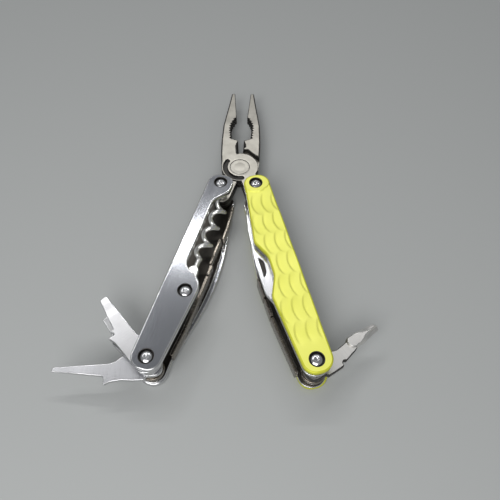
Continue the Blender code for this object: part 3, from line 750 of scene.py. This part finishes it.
def makeLeftHandle():
    place, size = places["leftHandle"], leftHandle
    top, holes = thickness - size["thick"], [(0, 0), (span, 0)]
    outline = rounded([(-3.9, -5.0, 4.4), (79.1, -5.0, 4.4), (79.1, 5.0, 4.4),
                       (44.3, 8.1, 6.5), (39.4, 0.1, 4.2), (9.2, 0.1, 5.0), (3.6, 4.9, 3.4),
                       (-3.9, 4.9, 4.2)], 5)
    shell = Shell()
    # painted shade: the rivet wells of both plates take the dark well steel
    wells = [(x, y, wellProfile(True, False), 2) for x, y in [*holes, middleRivet]]
    plate(shell, divided(clean(outline), 0.8), level(thickness), level(top), size["rim"],
          wells=wells, rimCount=6)
    obj = shell.make("left_upper_plate_ground", place, [plateFace, edgeSteel, shadedSteel])
    show(obj, "left_handle", "plate_steel", "left_upper_plate")

    shell = Shell()
    wells = [(x, y, wellProfile(False, True), 2) for x, y in holes]
    plate(shell, divided(clean(bellyOutline(0, 4.8)), 0.8), level(size["thick"]), level(0), size["rim"],
          wells=wells, rimCount=6)
    obj = shell.make("left_lower_plate_ground", place, [plateFace, edgeSteel, shadedSteel])
    show(obj, "left_handle", "plate_steel", "left_lower_plate")

    shell = Shell()
    plate(shell, divided(clean(bellyOutline(0.3, 3.6)), 0.8), level(size["liner"][1]),
          level(size["liner"][0]),
          0.15, wells=[(x, y, plainHole, 0) for x, y in holes], rimCount=3)
    obj = shell.make("left_liner_rolled", place, [leftLinerShadedFace, edgeSteel])
    show(obj, "left_handle", "spring_steel", "left_liner")

    rail = size["rail"]
    bar("left_front_rail_bar", "left_front_rail",
        [(3.0, 5.2), (11.0, 6.0), (19.4, 6.4), (19.2, 7.5), (11.0, 7.1), (3.0, 6.2)], rail, 7.4,
        place, "left_handle")
    bar("left_coil_rail_bar", "left_coil_rail",
        [(20.4, 5.6), (32.0, 5.6), (32.0, 6.7), (20.4, 6.7)], rail, springTop, place, "left_handle")
    bar("left_short_spring_bar", "left_short_spring",
        [(32.4, 6.2), (36.7, 6.2), (36.7, 7.4), (32.4, 7.4)], rail, springTop, place, "left_handle")
    bar("left_long_spring_bar", "left_long_spring",
        [(37.2, 6.3), (60.0, 5.5), (69.4, 4.6), (69.4, 5.8), (60.0, 6.7), (37.2, 7.6)], rail, springTop,
        place, "left_handle")
    makeWasher("left_front_spacer", place, 0, 0, 2.4, 8.8, 14.7, "left_handle", "rivet_steel")
    makeWasher("left_middle_spacer", place, *middleRivet, 1.9, 14.1, 14.7, "left_handle", "rivet_steel")
    makeWasher("left_end_washer_low", place, span, 0, 4.2, rail, 5.7, "left_handle", "spring_steel")
    makeWasher("left_end_washer_high", place, span, 0, 3.9, 6.0, springTop, "left_handle", "spring_steel")
    makeRivet("left_front_rivet", place, 0, 0, "left_handle")
    makeRivet("left_middle_rivet", place, *middleRivet, "left_handle", foot=8.9)
    makeRivet("left_end_rivet", place, span, 0, "left_handle")


makeLeftHandle()
print("left handle made")


# The right handle: yellow anodised scales over steel liners

rightHandle = {
    "thick": 1.9,
    "rim": 0.5,
    "scoopDepth": 0.6,  # how deep the carved crescents are
    "scoopLength": 5.6,  # half the length of one crescent
    "pitch": 9.2,  # from one column of crescents to the next but one
    "rowGap": 3.9,
    "bossReach": 4.1,  # where the raised boss round the front rivet ends
    "bossStep": 0.6,
    "carvedEnd": 69.0,
    "liner": 0.8,
    "gap": 0.3,
}


def smooth(t):
    t = np.clip(t, 0, 1)
    return t * t * (3 - 2 * t)


def carving(x, y):
    # How far the scale's face is carved down. Each crescent is a scoop: steep at a curved
    # edge y = centre - sag * (1 - s^2), s running from -1 to 1 along it, then rising slowly
    # towards +y. Crescents stand in columns, every second column half a row aside.
    size = rightHandle
    depth = np.zeros(np.shape(x))
    for column in range(7):
        centreX = 10.5 + column * size["pitch"]
        shift = 1.95 * (column % 2)
        for row in range(-2, 3):
            centreY = row * size["rowGap"] + 1.4 - shift
            s = (x - centreX) / size["scoopLength"]
            reach = np.clip(1 - s * s, 0, None)
            above = y - (centreY - 1.7 * reach)
            rise = smooth((above + 0.45) / 0.9) * np.clip(1 - above / (size["rowGap"] * 0.95), 0, 1)
            depth = np.maximum(depth, size["scoopDepth"] * reach ** 1.3 * rise)
    return depth * smooth((size["carvedEnd"] + 2.5 - x) / 5.0)


def scaleAbove(x, y):
    # The upper scale's face: the boss round the front rivet ends in a step that curls back at
    # the sides, x = reach - 0.11 * y^2 with a slight wave, and beyond it the face is carved.
    size = rightHandle
    edge = size["bossReach"] - 0.11 * y * y + 0.12 * np.sin(y * 1.9)
    field = smooth((x - edge) / 0.35)
    fade = smooth((size["carvedEnd"] + 3 - x) / 8.0)
    return thickness - field * (size["bossStep"] * smooth((24 - x) / 20) + carving(x, y) * fade)


def scaleOutline(outer, margin, notched):
    if notched:
        inner = [(49.5, -7.6, 4.0), (41.6, -4.5, 7.0), (33.6, -4.5, 7.0), (26.5, -7.8, 4.0)]
    else:
        inner = [(50.0, -7.6, 20.0), (38.0, -8.6, 30.0), (26.0, -7.8, 20.0)]
    front, end = -4.0 + margin, 79.1 - margin
    inner = [(4.0, -4.9, 12.0), *reversed(inner)]
    inner = [(x, y + margin, radius) for x, y, radius in inner]
    ends = [(end, outer, 4.8), (front, outer, 4.6), (front, -4.5 + margin, 4.2)]
    return rounded([*ends, *inner, (end, -4.6 + margin, 4.4)], 5)


def makeRightHandle():
    place, size = places["rightHandle"], rightHandle
    top, holes = thickness - size["thick"], [(0, 0), (span, 0)]
    shell = Shell()
    # painted shade: the rivet wells of both scales take the dark well steel
    wells = [(x, y, wellProfile(True, False), 2) for x, y in holes]
    plate(shell, divided(clean(scaleOutline(5.4, 0, True)), 0.35), scaleAbove, level(top), size["rim"],
          wells=wells, rimCount=5, grid=0.28, wall=1)
    obj = shell.make("right_upper_scale_carved", place, [yellowScale, yellowShadedEdge, shadedSteel])
    show(obj, "right_handle", "yellow_scale", "right_upper_scale")

    shell = Shell()
    wells = [(x, y, wellProfile(False, True), 2) for x, y in holes]
    plate(shell, divided(clean(scaleOutline(5.4, 0, False)), 0.35), level(size["thick"]),
          lambda x, y: thickness - scaleAbove(x, y), size["rim"], wells=wells, rimCount=5, grid=0.28, wall=1)
    obj = shell.make("right_lower_scale_carved", place, [yellowScale, yellowShadedEdge, shadedSteel])
    show(obj, "right_handle", "yellow_scale", "right_lower_scale")

    for side, low, notched in (("upper", top - size["gap"] - size["liner"], True),
                               ("lower", size["thick"] + size["gap"], False)):
        shell = Shell()
        plate(shell, divided(clean(scaleOutline(4.4, -0.1, notched)), 0.8),
              level(low + size["liner"]), level(low),
              0.15, wells=[(x, y, plainHole, 0) for x, y in holes], rimCount=3)
        obj = shell.make(f"right_{side}_liner_rolled", place, [linerFace, edgeSteel])
        show(obj, "right_handle", "spring_steel", f"right_{side}_liner")

    low = 3.3
    bar("right_short_spring_bar", "right_short_spring",
        [(37.6, -9.6), (45.4, -9.3), (45.4, -8.0), (37.6, -8.2)], low, 9.4, place, "right_handle", 0.4)
    bar("right_middle_spring_bar", "right_middle_spring",
        [(45.9, -9.2), (53.0, -8.9), (53.0, -7.6), (45.9, -7.9)], low, springTop, place, "right_handle")
    bar("right_long_spring_bar", "right_long_spring",
        [(53.5, -8.9), (74.6, -6.5), (74.6, -5.2), (53.5, -7.6)], low, springTop, place, "right_handle")
    makeWasher("right_front_spacer", place, 0, 0, 2.4, 8.8, 13.7, "right_handle", "rivet_steel")
    makeWasher("right_end_washer_low", place, span, 0, 4.2, low, 5.7, "right_handle", "spring_steel")
    makeWasher("right_end_washer_high", place, span, 0, 3.9, 6.0, 8.6, "right_handle", "spring_steel")
    makeRivet("right_front_rivet", place, 0, 0, "right_handle")
    makeRivet("right_end_rivet", place, span, 0, "right_handle")


makeRightHandle()
print("right handle made")


# Folding tools. In a tool's own place its rivet is the origin and its tip points along +x.

pivotWell = (0, 0, [(rivet["hole"] + 0.08, 0, 1), (rivet["hole"], -0.08, 1), (rivet["hole"], 0, -1)], 1)


def blade(name, node, corners, heights, place, body, face, taper=None, rim=0.16, pockets=()):
    # A flat tool: its outline between two faces that draw together where taper(x, y) says.
    low, high = heights
    taper = taper or (lambda x, y: np.zeros(np.shape(x)))
    shell = Shell()
    outline = divided(clean(rounded(corners, 8)), 0.5)
    plate(shell, outline, lambda x, y: high - taper(x, y), lambda x, y: low + taper(x, y), rim,
          wells=[pivotWell], pockets=pockets, grid=0.5, rimCount=3)
    obj = shell.make(name, place, [face, edgeSteel, shadedSteel])
    return show(obj, body, "blade_steel", node)


def tipTaper(start, tip, most):  # draws the faces together towards a driver's tip
    return lambda x, y: most * smooth((x - start) / (tip - start))


blade("can_opener_ground", "can_opener",
      [(-4.3, -4.3, 4.1), (4.5, -4.0, 2.5), (9.8, -1.8, 3.0), (28.3, -1.25, 0.7), (28.2, 1.4, 0.9),
       (21.5, 2.4, 6.0), (15.6, 3.1, 0.5), (15.7, 4.5, 0.2), (13.8, 3.7, 0.3), (13.9, 6.3, 0.25),
       (11.3, 5.3, 1.5), (7.0, 5.0, 3.0), (-4.3, 4.6, 4.1)],
      (12.4, 14.4), places["canOpener"], "can_opener", openerFace, tipTaper(20, 28.3, 0.55))
blade("small_driver_ground", "small_driver",
      [(-4.2, -4.2, 4.0), (5.0, -3.8, 2.5), (9.0, -1.9, 3.0), (22.5, -1.0, 0.2), (22.6, 1.0, 0.2),
       (17.1, 2.1, 2.0), (14.6, 2.5, 0.8), (13.3, 4.3, 0.6), (10.5, 4.3, 1.5), (-4.2, 4.3, 4.0)],
      (10.6, 12.1), places["smallDriver"], "small_driver", smallDriverShadedFace, tipTaper(15, 22.6, 0.4))
blade("flat_driver_ground", "flat_driver",
      [(-4.2, -4.2, 4.0), (5.0, -4.0, 2.0), (9.2, -2.8, 1.5), (11.4, -1.2, 2.0), (13.6, -0.6, 2.0),
       (31.7, -0.55, 0.2), (31.8, 0.85, 0.2), (15.6, 3.3, 0.5), (14.8, 3.9, 0.3), (14.6, 6.3, 0.25),
       (12.6, 5.4, 1.0), (9.0, 5.0, 2.0), (5.0, 5.4, 2.0), (1.6, 5.4, 0.6), (0.9, 4.3, 0.4),
       (-4.2, 4.2, 4.0)],
      (8.8, 10.3), places["flatDriver"], "flat_driver", flatFace, tipTaper(22, 31.8, 0.4))


def makeKnife():
    # The blade is hollow-ground: its faces draw together from the grind line to the edge.
    corners = [(-4.3, -4.3, 4.1), (6.5, -4.3, 1.5), (7.5, -1.0, 1.0), (12.0, -0.6, 2.0), (50.0, -0.6, 20.0),
               (61.0, 2.0, 12.0), (66.0, 6.3, 0.3), (56.0, 8.0, 10.0), (40.0, 9.2, 14.0),
               (28.0, 8.9, 6.0), (20.0, 5.6, 6.0), (-4.3, 4.4, 4.1)]

    def grind(x, y):
        fade = smooth((x - 11) / 3)
        return 0.6 * fade * np.clip((3.4 - y + np.clip(x - 50, 0, None) * 0.25) / 4.4, 0, 1)

    nick = divided(clean(rounded([(33.6, 7.7, 0.3), (36.5, 6.2, 2.0), (40.5, 6.0, 2.0),
                                  (43.0, 7.7, 0.3)])), 0.5)
    # painted shade: the nail nick takes the dark well steel
    blade("knife_blade_ground", "knife_blade", corners, (12.2, 13.7), places["knife"], "knife",
          knifeFace, grind,
          rim=0.12, pockets=[(nick, 0.6, 0.08, 2)])


makeKnife()


def makeCrossDriver():
    # A flat arm, and on it a round bar ground flat above and below, whose four flutes deepen
    # towards the tip. The bar's section is radius R(x) less a flute share of |sin 2t|.
    low, high = 8.9, 11.3
    corners = [(-4.2, -4.3, 4.0), (1.4, -4.5, 0.5), (1.9, -5.3, 0.3), (8.0, -5.3, 0.3)]
    corners += [(8.1, -4.3, 0.3), (8.9, -3.7, 0.6), (9.8, -4.3, 0.5), (15.5, -2.9, 0.5), (15.5, 0.9, 0.5),
                (8.0, 0.2, 3.0), (5.5, 3.4, 3.0), (-4.2, 4.3, 4.1)]
    shell = Shell()
    outline = divided(clean(rounded(corners, 8)), 0.5)
    # painted shade: the arm's rim and walls take the dark well steel, a dark outline round it
    plate(shell, outline, level(high), level(low), 0.16, wells=[pivotWell], rimCount=3, wall=2)

    half, centreZ, axisY = 1.5, 10.4, -0.35
    x = np.concatenate((np.linspace(13.2, 15.2, 14), np.linspace(15.4, 26.1, 60)))
    t = np.linspace(0, tau, 145)[:-1]
    radius = 2.25 * np.sqrt(np.clip(1 - ((15.2 - x) / 2.0) ** 2, 0.02, 1) * (x < 15.2) + (x >= 15.2))
    radius = radius - 0.95 * np.clip((x - 18.6) / 7.5, 0, 1)
    radius = radius * np.sqrt(np.clip((26.25 - x) / 0.8, 0.0, 1))
    flute = 0.62 * smooth((x - 17.0) / 7.0)
    section = radius[:, None] * (1 - flute[:, None] * np.abs(np.sin(2 * t)) ** 0.7)
    y = axisY + section * np.cos(t)
    z = centreZ + np.clip(section * np.sin(t), -half, half)
    shell.band(np.stack((np.broadcast_to(x[:, None], y.shape), y, z), axis=-1), 0)
    for end in (0, -1):
        rim = np.stack((np.full(len(t), x[end]), y[end], z[end]), axis=-1)
        shell.fan((x[end], axisY, centreZ), rim)
    obj = shell.make("cross_driver_fluted", places["phillips"], [crossFace, edgeSteel, shadedSteel], 30)
    show(obj, "phillips_driver", "blade_steel", "phillips_driver")


makeCrossDriver()


corkscrew = {
    "axis": -1.0,
    "turn": 2.05,  # radius of the helix
    "wire": 0.9,
    "pitch": 8.1,
    "start": -45.0,
    "end": -15.0,
    "shank": -7.0,
    "height": 11.75,
    "hub": (9.7, 13.8),
    "hubRadius": 1.9,
    "tipLength": 0.15,  # the points at the wire's ends
}


def makeCorkscrew():
    # A round wire along a right-handed helix: angle grows with x, its radius closes on the axis at the
    # shank, and the wire thins to a point. Each ring stands square to the path.
    size = corkscrew
    reach = size["end"] - size["start"]
    share = np.linspace(0, 1, 230)
    x = size["start"] + reach * share
    angle = tau * reach / size["pitch"] * share
    turn = size["turn"] * smooth((size["end"] - x) / (0.5 * size["pitch"])) ** 0.7
    path = np.column_stack((x, size["axis"] - turn * np.sin(angle), size["height"] + turn * np.cos(angle)))
    shank = np.column_stack((np.linspace(size["end"], size["shank"], 20)[1:], np.full(19, size["axis"]),
                             np.full(19, size["height"])))
    path = np.vstack((path, shank))
    wire = size["wire"] * np.clip(0.12 + share * 9, 0, 1)
    wire = np.concatenate((wire, np.full(len(shank), size["wire"])))
    ahead = np.gradient(path, axis=0)
    ahead /= np.linalg.norm(ahead, axis=1)[:, None]
    out = np.array([0, 1.0, 0]) - ahead * ahead[:, 1:2]
    out /= np.linalg.norm(out, axis=1)[:, None]
    side = np.cross(ahead, out)
    t = np.linspace(0, tau, 25)[:-1]
    ring = out[:, None] * np.cos(t)[:, None] + side[:, None] * np.sin(t)[:, None]
    shell = Shell()
    shell.band(path[:, None] + ring * wire[:, None, None], 0)
    for end in (0, -1):
        past = size["tipLength"] if end else -size["tipLength"]
        shell.fan(path[end] + ahead[end] * past, path[end] + ring[end] * wire[end])
    tang = divided(clean(stadium(-10.0, size["axis"], 0, 0, size["hubRadius"])), 0.5)
    # painted shade: the tang's pivot well takes the dark well steel
    plate(shell, tang, level(size["hub"][1]), level(size["hub"][0]), 0.35, wells=[pivotWell], wall=0)
    obj = shell.make("corkscrew_wound", places["corkscrew"], [wireSteel, shadedSteel])
    show(obj, "corkscrew", "blade_steel", "corkscrew")


makeCorkscrew()
print("folding tools made")


# Camera, floor and light

view = {
    "place": (0.01047, -0.12017, 0.16826),  # metres
    "tilt": 32.54,  # degrees from straight down
    "lens": 36.0,
    "sensor": 36.0,
}
camera = bpy.data.objects.new("camera", bpy.data.cameras.new("camera"))
bpy.context.scene.collection.objects.link(camera)
camera.location = view["place"]
camera.rotation_euler = (math.radians(view["tilt"]), 0, 0)
camera.data.lens = view["lens"]
camera.data.sensor_width = view["sensor"]
camera.data.clip_start = 0.01
bpy.context.scene.camera = camera
bpy.context.scene.view_settings.view_transform = "Standard"  # keeps the yellow saturated

studio = {
    "floor": "#aeb0af",
    "floorSize": 3.0,  # metres
    "world": "#b9bbbd",
    "worldStrength": 0.5,
    "lamps": [  # name, place, aim, size in metres, watts
        ("ceiling strip", (0.0, 0.552, 0.88), (0, -0.02, 0), (0.8, 0.03), 1.7),  # bright band on the plate
        ("left panel", (-0.46, 0.42, 0.95), (-0.03, -0.05, 0), (0.30, 0.20), 0.65),  # the drivers' faces
        ("wide soft light", (-0.10, -0.36, 0.40), (0, -0.06, 0), (0.40, 0.30), 1.85),
    ],
}


def makeFloor():
    half = studio["floorSize"] / 2
    mesh = bpy.data.meshes.new("floor")
    mesh.from_pydata([(-half, -half, 0), (half, -half, 0), (half, half, 0), (-half, half, 0)], [],
                     [(0, 1, 2, 3)])
    floor = bpy.data.objects.new("floor", mesh)
    bpy.context.scene.collection.objects.link(floor)
    mesh.materials.append(newMaterial("plain pale floor", Roughness=0.6,
                                      Base_Color=linear(studio["floor"]))[0])


def makeLamp(name, location, target, size, power, colour="#ffffff"):
    data = bpy.data.lights.new(name, "AREA")
    data.shape = "RECTANGLE"
    data.size, data.size_y = size
    data.energy = power
    data.color = linear(colour)[:3]
    lamp = bpy.data.objects.new(name, data)
    bpy.context.scene.collection.objects.link(lamp)
    lamp.location = location
    lamp.rotation_euler = (Vector(target) - Vector(location)).to_track_quat("-Z", "Y").to_euler()


def makeWorld():
    world = bpy.data.worlds.new("studio")
    bpy.context.scene.world = world
    world.use_nodes = True
    background = world.node_tree.nodes["Background"]
    background.inputs["Color"].default_value = linear(studio["world"])
    background.inputs["Strength"].default_value = studio["worldStrength"]


makeFloor()
makeWorld()
for lamp in studio["lamps"]:
    makeLamp(*lamp)
print("studio made")
